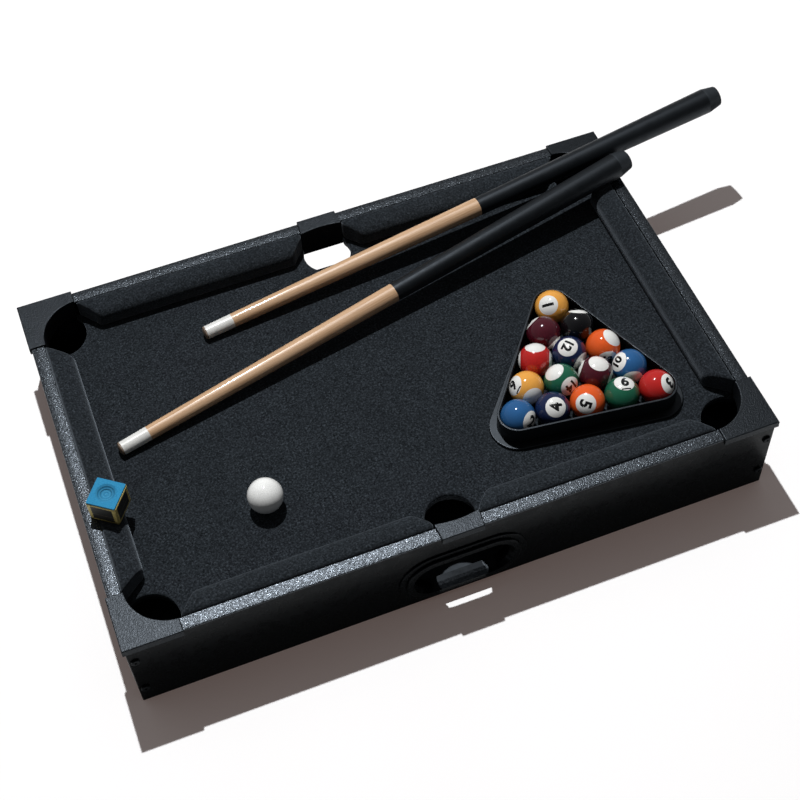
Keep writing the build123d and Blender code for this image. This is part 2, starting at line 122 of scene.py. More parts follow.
# Field cloth
cloth_edge_step = 3 * MM
cloth_side_margin = 0.2 * MM
cloth_grid = 6 * MM
cloth_grid_gap = 2.6 * MM
cloth_merge_distance = 1e-7
cloth_waviness = 0.06 * MM
cloth_waves_per_metre = 60
cloth_thickness = 0.65 * MM
cloth_roll = 1.0 * MM
cloth_rim_out, cloth_rim_drop = 0.2 * MM, 0.35 * MM
cloth_skirt = 3.4 * MM
cloth_bends = ((0.62 * MM, 1.0 * MM), (0.8 * MM, 2.2 * MM), (0.8 * MM, cloth_skirt))

# Balls: the angles of the number circles and of the white caps of the striped ones
circle_angle = 35.0
cap_angle = 35.5
spot_softness = 0.006

# Numbers: heights as shares of the ball's radius, and details as shares of the type's own size
digit_height_share = 0.72
pair_height_share = 0.6
figure_boldness_share = 0.042
figure_spacing_share = 0.92
bar_length_share, bar_thickness_share, bar_drop_share = 0.62, 0.085, 0.17
longest_edge_share = 0.2
ink_lift = 0.03 * MM
ink_depth = 0.09 * MM

# Chalk: the cube and the hollow worn into its top
chalk_width = 22.5 * MM
chalk_height = 21.3 * MM
chalk_turn = radians(-37.0)
dish_floor, dish_radius, dish_depth = 2.5 * MM, 8.2 * MM, 2.2 * MM
# Painted shade in the hollow starts at the first radius and is full at the second; the worn grooves lie
# within the same span.
wear_and_shade_from, wear_and_shade_to = 8.6 * MM, 5 * MM
groove_pitch, groove_depth = 2.1 * MM, 0.12 * MM

# Wrapper: the paper round the chalk's sides, and the frame printed on it
wrapper_below_top = 1.3 * MM
wrapper_lift = 0.05 * MM
wrapper_outer, wrapper_inner = 0.24 * MM, 0.04 * MM
wrapper_corner = 0.9 * MM
wrapper_flare = 0.12 * MM
wrapper_wrinkle = 0.05 * MM
wrapper_wrinkles_per_metre = 260
wrapper_wrinkle_spread = 10 * MM
wrapper_rows, wrapper_corner_steps, wrapper_side_steps = 10, 4, 8
frame_side, frame_top, frame_bottom = 2.8 * MM, 3.4 * MM, 2.0 * MM
rule_level, rule_half = -2.6 * MM, 0.25 * MM


# Node materials
class Look:
    """A material on one Principled shader, with short calls for the nodes that feed it."""

    def __init__(self, name, roughness, specular, sheen=0.0, coat=0.0, shine=white):
        self.material = bpy.data.materials.new(name)
        self.material.use_nodes = True
        self.tree = self.material.node_tree
        self.shader = self.tree.nodes["Principled BSDF"]
        self.put("Roughness", roughness)
        self.put("Specular IOR Level", specular)
        self.put("Specular Tint", (*shine, 1))
        self.put("Sheen Weight", sheen)
        self.put("Coat Weight", coat)
        self.put("Coat Roughness", 0.08)
        self.coordinates = self.add("ShaderNodeTexCoord").outputs["Object"]

    def add(self, kind, inputs=None, **settings):
        """A new node, its settings first and then its inputs."""
        node = self.tree.nodes.new(kind)
        for key, value in settings.items():
            setattr(node, key, value)
        for key, value in (inputs or {}).items():
            self.set(node.inputs[key], value)
        return node

    def set(self, socket, value):
        """Give a socket a value or a link."""
        if isinstance(value, bpy.types.NodeSocket):
            self.tree.links.new(value, socket)
        else:
            socket.default_value = value

    def put(self, name, value):
        """Give one of the shader's inputs a value or a link."""
        self.set(self.shader.inputs[name], value)

    def math(self, operation, a, b=0.0):
        return self.add("ShaderNodeMath", {0: a, 1: b}, operation=operation).outputs[0]

    def times(self, a, b):
        return self.math("MULTIPLY", a, b)

    def grade(self, value, start, end, **settings):
        """Zero to one as a value runs from start to end."""
        return self.add("ShaderNodeMapRange", {0: value, 1: start, 2: end}, **settings).outputs[0]

    def split(self, vector):
        """The three parts of a vector or a colour."""
        return self.add("ShaderNodeSeparateXYZ", {0: vector}).outputs

    def dot(self, vector, direction):
        inputs = {0: vector, 1: tuple(direction)}
        return self.add("ShaderNodeVectorMath", inputs, operation="DOT_PRODUCT").outputs["Value"]

    def offset(self, origin):
        """Coordinates from an origin."""
        inputs = {0: self.coordinates, 1: tuple(origin)}
        return self.add("ShaderNodeVectorMath", inputs, operation="SUBTRACT").outputs[0]

    def local(self, origin, axes, stretch=1):
        """Coordinates from an origin along three axes, the first of them drawn out by a stretch."""
        offset = self.offset(origin)
        along, across, above = (self.dot(offset, axis) for axis in axes)
        inputs = {0: self.math("DIVIDE", along, stretch), 1: across, 2: above}
        return self.add("ShaderNodeCombineXYZ", inputs).outputs[0]

    def upright(self):
        """Zero on level surfaces, one on vertical ones."""
        level = self.dot(self.add("ShaderNodeNewGeometry").outputs["Normal"], (0, 0, 1))
        return self.math("SUBTRACT", 1.0, self.math("ABSOLUTE", level))

    def noise(self, size, detail=2.0, roughness=0.5, vector=None):
        """Soft random levels of a given size."""
        inputs = {"Scale": 1 / size, "Detail": detail, "Roughness": roughness,
                  "Vector": self.coordinates if vector is None else vector}
        return self.add("ShaderNodeTexNoise", inputs).outputs["Fac"]

    def cells(self, size, feature="F1"):
        """Distances in a pattern of random cells."""
        inputs = {"Scale": 1 / size, "Vector": self.coordinates}
        return self.add("ShaderNodeTexVoronoi", inputs, feature=feature).outputs["Distance"]

    def patches(self, size):
        """A random level for each cell of a grain."""
        node = self.add("ShaderNodeTexVoronoi", {"Scale": 1 / size, "Vector": self.coordinates})
        return self.split(node.outputs["Color"])[0]

    def ramp(self, value, *stops):
        """A colour or a grey from a value, by (place, colour) stops."""
        node = self.add("ShaderNodeValToRGB", {"Fac": value})
        elements = node.color_ramp.elements
        while len(elements) < len(stops):
            elements.new(1.0)
        for element, (place, colour) in zip(elements, stops):
            element.position = place
            element.color = (colour, colour, colour, 1) if isinstance(colour, float) else (*colour, 1)
        return node.outputs["Color"]

    def mix(self, amount, a, b):
        """A blend of two colours, by the amount of the second."""
        a, b = (c if isinstance(c, bpy.types.NodeSocket) else (*c, 1) for c in (a, b))
        return self.add("ShaderNodeMix", {0: amount, 6: a, 7: b}, data_type="RGBA").outputs[2]

    def bump(self, height, distance, strength=1.0, under=None):
        """Relief from a height, over another relief if one is given."""
        node = self.add("ShaderNodeBump", {"Height": height, "Distance": distance, "Strength": strength})
        if under is not None:
            self.set(node.inputs["Normal"], under)
        self.put("Normal", node.outputs[0])
        return node.outputs[0]


def grey(level, tint=white):
    """A level of grey in a tint, or a colour made darker."""
    return tuple(level * t for t in tint)


def felt(name, level, sheen):
    """Short flock: a dark ground with paler fibre ends, uneven over centimetres."""
    look = Look(name, roughness=0.95, specular=0.03, sheen=sheen, shine=cool_shine)
    look.put("Sheen Tint", (*cool_shine, 1))
    fibres = look.noise(1.5 * MM, detail=4, roughness=0.72)
    tufts = look.noise(4.5 * MM, detail=3)
    broad = look.noise(35 * MM, detail=3)
    ground = look.ramp(fibres, (0.36, grey(level * 0.12, cool)), (0.5, grey(level * 0.75, cool)),
                       (0.62, grey(level * 2.2, cool)), (0.74, grey(level * 4.5, cool)))
    uneven = look.mix(look.ramp(tufts, (0.35, 0.0), (0.7, 0.4)), ground, grey(level * 1.3, cool))
    colour = look.mix(look.ramp(broad, (0.35, 0.0), (0.75, 0.3)), uneven, grey(level * 0.5, cool))
    look.put("Base Color", colour)
    look.bump(fibres, 0.35 * MM, strength=0.8)
    return look.material


def moulded(name, level, roughness, grain, depth, specular=0.5):
    """Moulded plastic with a fine spark-eroded grain and faint uneven gloss."""
    look = Look(name, roughness, specular, shine=cool_shine)
    fine = look.noise(grain)
    broad = look.noise(25 * MM)
    colour = look.mix(look.ramp(broad, (0.3, 0.0), (0.75, 1.0)), grey(level, cool), grey(level * 1.25, cool))
    speckled = look.mix(look.ramp(fine, (0.45, 0.0), (0.75, 0.6)), colour, grey(level * 1.9, cool))
    look.put("Base Color", speckled)
    gloss = look.ramp(look.noise(grain * 1.7, detail=3), (0.3, roughness - 0.05), (0.7, roughness + 0.06))
    look.put("Roughness", look.times(gloss, look.ramp(look.upright(), (0.4, 1.0), (0.8, 1.5))))
    look.bump(fine, depth)
    return look.material


def vinyl(strip):
    """Pebbled vinyl that rolls over the outer edge, whose grains catch the light, with painted shade in its
    creases.
    """
    look = Look(f"{strip} vinyl", roughness=0.3, specular=0.55, shine=cool_shine)
    low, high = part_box(strip)
    across = 0 if high.x - low.x < high.y - low.y else 1
    centre, half = (low[across] + high[across]) / 2, (high[across] - low[across]) / 2
    outer = 1 if centre > 0 else -1
    off = look.math("SUBTRACT", look.split(look.coordinates)[across], centre)
    off = look.math("DIVIDE", off, outer * half)
    rolled = look.math("MAXIMUM", look.math("ADD", off, vinyl_roll_share), 0.0)
    crown = look.bump(look.times(rolled, rolled), -vinyl_roll)
    pebbles = look.noise(vinyl_grain, detail=1)
    crease_depth_and_shade = look.ramp(look.cells(vinyl_crease_cell, "DISTANCE_TO_EDGE"), (0.02, 0.0), (0.16, 1.0))
    grains = look.patches(vinyl_grain)
    body = look.mix(grains, grey(0.001, cool), grey(0.028, cool))
    # Painted shade: the creases between the pebbles are coloured near-black for the shade that falls in
    # them; the same mask also sinks them as relief.
    look.put("Base Color", look.mix(crease_depth_and_shade, grey(0.002), body))
    look.put("Roughness", look.ramp(grains, (0.1, 0.44), (0.5, 0.31), (0.9, 0.19)))
    creased = look.bump(crease_depth_and_shade, vinyl_crease, under=crown)
    look.bump(pebbles, vinyl_depth, under=creased)
    return look.material


def painted(name, level, roughness, specular, axes=Matrix.Identity(3)):
    """Smooth dark film or paint with faint streaks along the piece."""
    look = Look(name, roughness, specular, shine=cool_shine)
    streaks = look.noise(1.4 * MM, detail=4, roughness=0.6, vector=look.local((0, 0, 0), axes, stretch=14))
    broad = look.noise(40 * MM, detail=3)
    colour = look.mix(look.ramp(streaks, (0.3, 0.0), (0.8, 1.0)), grey(level, cool), grey(level * 1.6, cool))
    patches = look.ramp(broad, (0.3, 0.0), (0.8, 0.5))
    look.put("Base Color", look.mix(patches, colour, grey(level * 0.7, cool)))
    gloss = look.noise(9 * MM, detail=4)
    look.put("Roughness", look.ramp(gloss, (0.3, roughness - 0.05), (0.72, roughness + 0.09)))
    look.bump(streaks, 0.03 * MM, strength=0.5)
    return look.material


def board(name):
    """Fibreboard: warm brown with fine fibres and darker flecks."""
    look = Look(name, roughness=0.8, specular=0.25)
    fibres = look.noise(1.2 * MM, detail=5, roughness=0.7)
    flecks = look.ramp(look.cells(2.4 * MM), (0.05, 0.5), (0.22, 0.0))
    colour = look.ramp(fibres, (0.25, (0.20, 0.13, 0.075)), (0.55, (0.36, 0.25, 0.155)),
                       (0.8, (0.46, 0.34, 0.22)))
    look.put("Base Color", look.mix(flecks, colour, (0.12, 0.075, 0.04)))
    look.bump(fibres, 0.12 * MM, strength=0.5)
    return look.material


def wood(name, origin, axes):
    """Pale straight-grained wood under a clear satin coat, with the grain along the cue."""
    look = Look(name, roughness=0.42, specular=0.5, coat=0.25)
    grain = look.noise(1.5 * MM, detail=4, roughness=0.6, vector=look.local(origin, axes, stretch=26))
    bands = look.noise(5 * MM, detail=3, vector=look.local(origin, axes, stretch=38))
    pores = look.noise(0.5 * MM, vector=look.local(origin, axes, stretch=16))
    colour = look.ramp(grain, (0.28, (0.44, 0.25, 0.125)), (0.5, (0.58, 0.36, 0.205)),
                       (0.75, (0.68, 0.46, 0.29)))
    colour_with_hollow_shade = look.mix(look.ramp(bands, (0.35, 0.0), (0.7, 0.55)), colour, (0.64, 0.42, 0.26))
    look.put("Base Color", look.mix(look.ramp(pores, (0.24, 0.5), (0.36, 0.0)), colour_with_hollow_shade, (0.40, 0.22, 0.11)))
    look.put("Roughness", look.ramp(grain, (0.3, 0.48), (0.7, 0.36)))
    look.bump(grain, 0.05 * MM, strength=0.5)
    return look.material


def plain_gloss(name, colour, darker, roughness, coat=0.0):
    """Even glossy or satin stuff with faint clouding."""
    look = Look(name, roughness, specular=0.5, coat=coat)
    cloud = look.ramp(look.noise(4 * MM, detail=3), (0.3, 0.0), (0.75, 1.0))
    look.put("Base Color", look.mix(cloud, colour, darker))
    gloss = look.noise(2 * MM, detail=3)
    look.put("Roughness", look.ramp(gloss, (0.3, roughness * 0.85), (0.7, roughness * 1.25)))
    return look.material


# Shared steps
def around(items):
    """Each item with the one after it, and the last with the first."""
    items = list(items)
    return list(zip(items, items[1:] + items[:1]))


def band(first, second):
    """Four-sided faces between two rings of point numbers."""
    return [[a, b, d, c] for (a, b), (c, d) in zip(around(first), around(second))]


def share(value, start, end):
    """How far a value is from start to end, from 0 to 1."""
    return max(0.0, min(1.0, (value - start) / (end - start)))


def middle(name):
    """The middle of a node's box."""
    low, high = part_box(name)
    return (low + high) / 2


def dress(material, *names):
    """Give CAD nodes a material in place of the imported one."""
    for name in names:
        mesh = nodes[name].data
        mesh.materials.clear()
        mesh.materials.append(material)


def add_object(name, data):
    """A new object in the scene."""
    made = bpy.data.objects.new(name, data)
    bpy.context.scene.collection.objects.link(made)
    return made


def make_piece(name, points, faces, material, smooth=True):
    """A mesh object from points and faces in the CAD's frame."""
    mesh = bpy.data.meshes.new(name)
    mesh.from_pydata([tuple(p) for p in points], [], faces)
    mesh.validate()
    if smooth:
        mesh.polygons.foreach_set("use_smooth", [True] * len(mesh.polygons))
    mesh.materials.append(material)
    return add_object(name, mesh)


def apply_modifiers(piece):
    """Put a piece's modifiers into its mesh."""
    bpy.context.view_layer.update()
    evaluated = piece.evaluated_get(bpy.context.evaluated_depsgraph_get())
    mesh = bpy.data.meshes.new_from_object(evaluated)
    piece.modifiers.clear()
    piece.data = mesh
    return mesh


# Table: felt, film, board, vinyl and moulded parts
table_felt = felt("field felt", level=0.0203, sheen=0.15)
cushion_felt = felt("cushion felt", level=0.0195, sheen=0.26)
crosswise = Matrix(((0, 1, 0), (1, 0, 0), (0, 0, 1)))
panel_film = painted("panel film", level=0.0006, roughness=0.27, specular=0.065)
cross_film = painted("end panel film", level=0.0006, roughness=0.27, specular=0.065, axes=crosswise)
dark_board = painted("dark board", level=0.012, roughness=0.6, specular=0.3)
dress(panel_film, "front_panel", "back_panel")
dress(cross_film, "left_panel", "right_panel")
dress(board("fibreboard"), "field_batten_left", "field_batten_right")
dress(dark_board, "field_board", "floor_board", "runway_left", "runway_right")
for rail in rails:
    dress(vinyl(f"rail_strip_{rail}"), f"rail_strip_{rail}")
cap_plastic = moulded("cap plastic", level=0.004, roughness=0.36, grain=0.9 * MM, depth=0.26 * MM,
                      specular=0.27)
dress(cap_plastic, "side_plate_front", "side_plate_back", *[f"corner_cap_{q}" for q in quadrants])
bezel_plastic = moulded("bezel plastic", level=0.0015, roughness=0.2, grain=0.8 * MM, depth=0.01 * MM,
                        specular=0.05)
dress(bezel_plastic, "return_bezel_front", "return_bezel_back")
screw_metal = moulded("blackened steel", level=0.002, roughness=0.35, grain=0.4 * MM, depth=0.01 * MM,
                      specular=0.12)
dress(screw_metal, "panel_screws")
rack_plastic = moulded("rack plastic", level=0.0015, roughness=0.38, grain=2.5 * MM, depth=0.002 * MM,
                       specular=0.42)
dress(rack_plastic, "ball_rack")

# Cues: the grain follows each cue's own axis
leather = plain_gloss("pressed leather", (0.26, 0.19, 0.14), (0.12, 0.085, 0.06), roughness=0.75)
ferrule_white = plain_gloss("ferrule", (0.80, 0.79, 0.76), (0.70, 0.69, 0.66), roughness=0.32)
rubber = moulded("bumper rubber", level=0.008, roughness=0.62, grain=0.6 * MM, depth=0.03 * MM)


def dress_cue(cue):
    """The materials of one cue, from its tip to its bumper."""
    tip = middle(f"{cue}_tip")
    along = (middle(f"{cue}_bumper") - tip).normalized()
    across = along.cross(Vector((0, 0, 1))).normalized()
    axes = (along, across, along.cross(across))
    dress(leather, f"{cue}_tip")
    dress(ferrule_white, f"{cue}_ferrule")
    dress(wood(f"{cue} shaft wood", tip, axes), f"{cue}_shaft")
    dress(painted(f"{cue} butt paint", level=0.003, roughness=0.47, specular=0.32, axes=axes), f"{cue}_butt")
    dress(rubber, f"{cue}_bumper")


for cue in cues:
    dress_cue(cue)

# Balls: colour, the middle of one number circle, the way up of the number, and a stripe's pole
yellow, blue, red = (0.86, 0.39, 0.07), (0.022, 0.108, 0.28), (0.50, 0.018, 0.016)
purple, orange, green = (0.008, 0.016, 0.062), (0.80, 0.11, 0.018), (0.012, 0.115, 0.062)
maroon, black = (0.068, 0.007, 0.015), (0.003, 0.003, 0.004)
ivory, cue_ball_white = (0.84, 0.83, 0.80), (0.95, 0.945, 0.92)
balls = {
    1: (yellow, (-0.46, -0.35, 0.82), (-0.88, 0.32, -0.35), None),
    2: (blue, (0.50, -0.80, 0.34), (0.59, 0.59, 0.55), None),
    3: (red, (0.55, -0.47, 0.69), (0.48, -0.57, -0.67), None),
    4: (purple, (-0.05, -0.47, 0.88), (-0.97, 0.23, 0.06), None),
    5: (orange, (-0.42, -0.55, 0.72), (0.75, -0.65, -0.06), None),
    6: (green, (0.15, 0.17, 0.97), (0.21, 0.98, 0.04), None),
    7: (maroon, (-0.42, 0.86, 0.30), (0.3, 0.4, -0.85), None),
    8: (black, (0.32, 0.66, 0.68), (-0.9, 0.2, 0.2), None),
    9: (yellow, (-0.81, -0.01, 0.59), (-0.19, 0.95, -0.25), (-0.12, -0.93, 0.35)),
    10: (blue, (-0.78, 0.04, 0.63), (-0.23, 0.91, -0.34), (-0.37, -0.92, 0.12)),
    11: (red, (-0.91, 0.38, -0.19), (0.2, 0.5, 0.8), (0.25, 0.37, 0.89)),
    12: (purple, (-0.21, -0.17, 0.96), (0.59, -0.81, -0.01), (0.42, -0.90, 0.04)),
    13: (orange, (-0.04, -0.98, 0.19), (0.16, 0.18, 0.97), (0.47, -0.36, 0.80)),
    14: (green, (0.18, -0.86, 0.47), (0.43, -0.36, -0.82), (-0.41, 0.25, 0.88)),
    15: (maroon, (-0.76, 0.64, 0.12), (0.3, 0.5, 0.8), (0.21, 0.07, 0.97)),
}
ink = plain_gloss("number ink", (0.006, 0.006, 0.007), (0.012, 0.012, 0.013), roughness=0.16, coat=0.3)


def square_up(a, b):
    """Two directions turned apart or together, each by the same amount, until they are square."""
    plus, minus = (a + b).normalized(), (a - b).normalized()
    return (plus + minus).normalized(), (plus - minus).normalized()


def ball_look(name, centre, colour, face=None, pole=None):
    """Polished resin: one colour or a band, with a white circle on either side."""
    look = Look(name, roughness=0.1, specular=0.5, coat=0.4)
    outward = look.add("ShaderNodeVectorMath", {0: look.offset(centre)}, operation="NORMALIZE").outputs[0]

    def spot(direction, angle):
        """One within an angle of a direction and of its opposite, zero elsewhere."""
        nearness = look.math("ABSOLUTE", look.dot(outward, direction))
        edge = cos(radians(angle))
        return look.grade(nearness, edge - spot_softness, edge + spot_softness)

    cloud = look.ramp(look.noise(7 * MM, detail=3), (0.3, 0.0), (0.75, 0.35))
    surface = look.mix(cloud, colour, grey(0.72, colour))
    clouded_ivory = look.mix(cloud, ivory, grey(0.93, ivory))
    if pole is not None:
        surface = look.mix(spot(pole, cap_angle), surface, clouded_ivory)
    if face is not None:
        surface = look.mix(spot(face, circle_angle), surface, clouded_ivory)
    look.put("Base Color", surface)
    look.put("Roughness", look.ramp(look.noise(5 * MM, detail=4), (0.35, 0.07), (0.75, 0.16)))
    return look.material


def figures(text):
    """The figures of a number as a flat mesh, at a type size of one."""
    curve = bpy.data.curves.new("numeral", "FONT")
    curve.body = text
    curve.size = 1.0
    curve.offset = figure_boldness_share
    curve.resolution_u = 3
    curve.space_character = figure_spacing_share
    holder = add_object("numeral", curve)
    bpy.context.view_layer.update()
    mesh = bpy.data.meshes.new_from_object(holder)
    bpy.data.objects.remove(holder)
    bpy.data.curves.remove(curve)
    work = bmesh.new()
    work.from_mesh(mesh)
    bpy.data.meshes.remove(mesh)
    bmesh.ops.remove_doubles(work, verts=work.verts, dist=1e-4)
    return work


def flat_numeral(text, height):
    """Points, triangles and rim of a number in a plane, centred, with short edges."""
    work = figures(text)
    tall = [v.co.y for v in work.verts]
    wide = [v.co.x for v in work.verts]
    scale = height / (max(tall) - min(tall))
    middle_x, middle_y = (max(wide) + min(wide)) / 2, (max(tall) + min(tall)) / 2
    if text in ("6", "9"):
        bar = bmesh.ops.create_grid(work, x_segments=8, y_segments=1, size=0.5)["verts"]
        for v in bar:
            v.co.x = v.co.x * bar_length_share + middle_x
            v.co.y = v.co.y * bar_thickness_share + min(tall) - bar_drop_share
    for v in work.verts:
        v.co.x = (v.co.x - middle_x) * scale
        v.co.y = (v.co.y - middle_y) * scale
    bmesh.ops.triangulate(work, faces=work.faces)
    for _ in range(3):
        long_edges = [e for e in work.edges if e.calc_length() > height * longest_edge_share]
        if not long_edges:
            break
        bmesh.ops.subdivide_edges(work, edges=long_edges, cuts=1)
        bmesh.ops.triangulate(work, faces=work.faces)
    work.verts.index_update()
    points = [(v.co.x, v.co.y) for v in work.verts]
    faces = [[v.index for v in f.verts] for f in work.faces]
    rim = [[v.index for v in e.verts] for e in work.edges if len(e.link_faces) == 1]
    forward = {pair for f in faces for pair in around(f)}
    rim = [r if tuple(r) in forward else r[::-1] for r in rim]
    work.free()
    return points, faces, rim


def numeral_on_ball(name, text, centre, radius, face, up):
    """The number as a thin layer of ink bent round the ball."""
    height = radius * (digit_height_share if len(text) == 1 else pair_height_share)
    points, faces, rim = flat_numeral(text, height)
    up = (up - face * up.dot(face)).normalized()
    right = up.cross(face)
    layers = []
    for level in (radius + ink_lift, radius + ink_lift - ink_depth):
        for x, y in points:
            reach = hypot(x, y)
            angle = reach / radius
            sideways = (right * x + up * y) / reach if reach > 1e-9 else Vector()
            layers.append(centre + (face * cos(angle) + sideways * sin(angle)) * level)
    count = len(points)
    shell = faces + [[count + i for i in reversed(f)] for f in faces]
    shell += [[a, count + a, count + b, b] for a, b in rim]
    return make_piece(name, layers, shell, ink, smooth=False)


def dress_ball(number, colour, face, up, pole):
    """The material of a numbered ball, and its number on both sides."""
    low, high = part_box(f"ball_{number}")
    centre, radius = (low + high) / 2, (high.z - low.z) / 2
    face, up = Vector(face).normalized(), Vector(up).normalized()
    if pole is not None:
        face, pole = square_up(face, Vector(pole).normalized())
    dress(ball_look(f"ball {number} resin", centre, colour, face, pole), f"ball_{number}")
    for side, turn in (("near", 1), ("far", -1)):
        piece = numeral_on_ball(f"number_{number}_{side}", str(number), centre, radius, face * turn, up)
        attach(piece, f"ball_{number}")


for number, (colour, face, up, pole) in balls.items():
    dress_ball(number, colour, face, up, pole)
low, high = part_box("cue_ball")
dress(ball_look("cue ball resin", (low + high) / 2, cue_ball_white), "cue_ball")

# Cushions: the CAD solid remeshed, filled out like stuffed cloth, and pressed down under what lies on them
chalk_low, chalk_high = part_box("chalk")
chalk_middle = middle("chalk")
chalk_half = chalk_width / 2
chalk_along = Vector((cos(chalk_turn), sin(chalk_turn), 0))
chalk_across = Vector((-sin(chalk_turn), cos(chalk_turn), 0))
cue_lines = [(middle(f"{cue}_tip"), middle(f"{cue}_bumper")) for cue in cues]


def free_height(point):
    """How high a cushion may stand at a point, under the cues and the chalk that lie on it."""
    limits = []
    for tip, end in cue_lines:
        run = (end - tip).to_2d()
        along = (point - tip).to_2d().dot(run) / run.length_squared
        if 0 < along < 1:
            aside = (point.to_2d() - tip.to_2d().lerp(end.to_2d(), along)).length
            limits.append(tip.z + (end.z - tip.z) * along - cue_reach + aside ** 2 / cue_dent_radius)
    from_chalk = point - chalk_middle
    outside = max(abs(from_chalk.dot(axis)) for axis in (chalk_along, chalk_across)) - chalk_half
    limits.append(chalk_low.z + max(0.0, outside - rest_clearance) ** 2 / chalk_half)
    return min(limits) - rest_clearance


def cushion_piece(name):
    """One cushion, made from its CAD solid."""
    piece = add_object(f"cushion_cover_{name}", nodes[f"cushion_{name}"].data.copy())
    remesh = piece.modifiers.new("even", "REMESH")
    remesh.mode = "VOXEL"
    remesh.voxel_size = cushion_voxel
    soften = piece.modifiers.new("soften", "SMOOTH")
    soften.factor = 0.5
    soften.iterations = cushion_smoothings
    mesh = apply_modifiers(piece)
    low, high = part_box(f"cushion_{name}")
    long_way = 0 if high.x - low.x > high.y - low.y else 1
    deep_way = 1 - long_way
    inner, outer = (low, high) if (low + high)[deep_way] > 0 else (high, low)
    inward = 1 if inner[deep_way] > outer[deep_way] else -1
    for v in mesh.vertices:
        depth = share(v.co[deep_way], inner[deep_way], outer[deep_way])
        height = share(v.co.z, low.z, high.z)
        end = min(v.co[long_way] - low[long_way], high[long_way] - v.co[long_way])
        pucker = 1 + pucker_strength * max(0.0, 1 - end / pucker_reach)
        wave = noise.noise(v.co * cushion_waves_per_metre) * cushion_waviness * pucker
        seam = max(0.0, (depth - 1 + cushion_tuck_share) / cushion_tuck_share)
        rise = cushion_rise * (1 - seam ** 3) - cushion_tuck * seam ** 2
        lifted = v.co.z + (rise - abs(wave)) * height
        v.co.z = min(lifted, free_height(v.co)) if height > 0.5 else lifted
        bulge = max(0.0, 1 - depth / cushion_nose_share) * max(0.0, 1 - height) * cushion_fill_out
        v.co[deep_way] += inward * bulge + wave * (1 - height) * cushion_side_wave_share
    mesh.polygons.foreach_set("use_smooth", [True] * len(mesh.polygons))
    mesh.materials.clear()
    mesh.materials.append(cushion_felt)
    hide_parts(f"cushion_{name}")
    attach(piece, "table")


for rail in rails:
    cushion_piece(rail)

# Field cloth: one sheet stretched over the board and turned down into the pockets
cloth_low, cloth_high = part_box("field_cloth")
cloth_top = cloth_high.z
cloth_width = cloth_high.x - cloth_low.x
cloth_depth = cloth_high.y - cloth_low.y


def outline_of(node, level):
    """The closed outline of a node's flat top face, in order."""
    mesh = nodes[node].data
    sides = []
    for polygon in mesh.polygons:
        corners = [mesh.vertices[i].co for i in polygon.vertices]
        if all(abs(c.z - level) < 1e-6 for c in corners):
            sides += around((round(c.x, 6), round(c.y, 6)) for c in corners)
    shared = set(sides)
    following = {a: b for a, b in sides if (b, a) not in shared}
    start = next(iter(following))
    loop, here = [start], following[start]
    while here != start:
        loop.append(here)
        here = following[here]
    return [Vector(p) for p in loop]


def spaced(loop, longest):
    """The same outline with its long sides divided."""
    points = []
    for a, b in around(loop):
        steps = max(1, int((b - a).length / longest + 0.999))
        points += [a.lerp(b, i / steps) for i in range(steps)]
    return points


def ways_out(edge):
    """The direction out of the cloth at each point of its edge."""
    runs = [after - before for before, after in zip(edge[-1:] + edge[:-1], edge[1:] + edge[:1])]
    return [Vector((run.y, -run.x)).normalized() for run in runs]


def in_pocket(p):
    """Whether a point of the edge is on the rim of a pocket, and not along a side."""
    return abs(p.x) < cloth_high.x - cloth_side_margin and abs(p.y) < cloth_high.y - cloth_side_margin


def grid_within(edge):
    """Staggered points over the cloth, clear of its edge."""
    rim = np.array([(p.x, p.y) for p in edge])
    steps_x = int(cloth_width / cloth_grid)
    steps_y = int(cloth_depth / cloth_grid)
    grid = []
    for i in range(1, steps_x):
        for j in range(1, steps_y):
            x = cloth_low.x + cloth_width * (i + 0.5 * (j % 2)) / steps_x
            y = cloth_low.y + cloth_depth * j / steps_y
            if np.hypot(rim[:, 0] - x, rim[:, 1] - y).min() > cloth_grid_gap:
                grid.append(Vector((x, y)))
    return grid


def level_sheet(edge, outward, pocket):
    """Points and faces of the level cloth, and the numbers of the points on its edge."""
    count = len(edge)
    inner_ring = [p - way * cloth_roll for p, way in zip(edge, outward)]
    fixed = around(range(count)) + around(range(count, 2 * count))
    places, _, made_faces, sources, _, _ = delaunay_2d_cdt(
        edge + inner_ring + grid_within(edge), fixed, [list(range(count))], 1, cloth_merge_distance)
    points, rim = [], [None] * count
    for index, p in enumerate(places):
        origin = min(sources[index], default=count)
        waves = noise.noise(Vector((p.x, p.y, 0)) * cloth_waves_per_metre)
        level = cloth_top - cloth_waviness * (0.5 + 0.5 * waves)
        if origin < count:
            rim[origin] = index
            if pocket[origin]:
                p = edge[origin] + outward[origin] * cloth_rim_out
                level = cloth_top - cloth_rim_drop
        points.append(Vector((p.x, p.y, level)))
    return points, [list(f) for f in made_faces], rim


def turn_down(points, faces, rim, edge, outward, pocket):
    """Add the cloth that bends down over the rims of the pockets."""
    count = len(edge)
    rings = [rim]
    for reach, drop in cloth_bends:
        rings.append([len(points) + i for i in range(count)])
        for p, way in zip(edge, outward):
            bent = p + way * reach
            points.append(Vector((bent.x, bent.y, cloth_top - drop)))
    for upper, lower in zip(rings, rings[1:]):
        for i, j in around(range(count)):
            if pocket[i] and pocket[j]:
                faces.append([upper[i], lower[i], lower[j], upper[j]])


def clean_sheet(mesh):
    """Drop loose points, turn every face up, and give the area."""
    work = bmesh.new()
    work.from_mesh(mesh)
    bmesh.ops.delete(work, geom=[v for v in work.verts if not v.link_faces], context="VERTS")
    bmesh.ops.recalc_face_normals(work, faces=work.faces)
    if sum(f.normal.z for f in work.faces) < 0:
        bmesh.ops.reverse_faces(work, faces=work.faces)
    area = sum(f.calc_area() for f in work.faces)
    work.to_mesh(mesh)
    work.free()
    return area


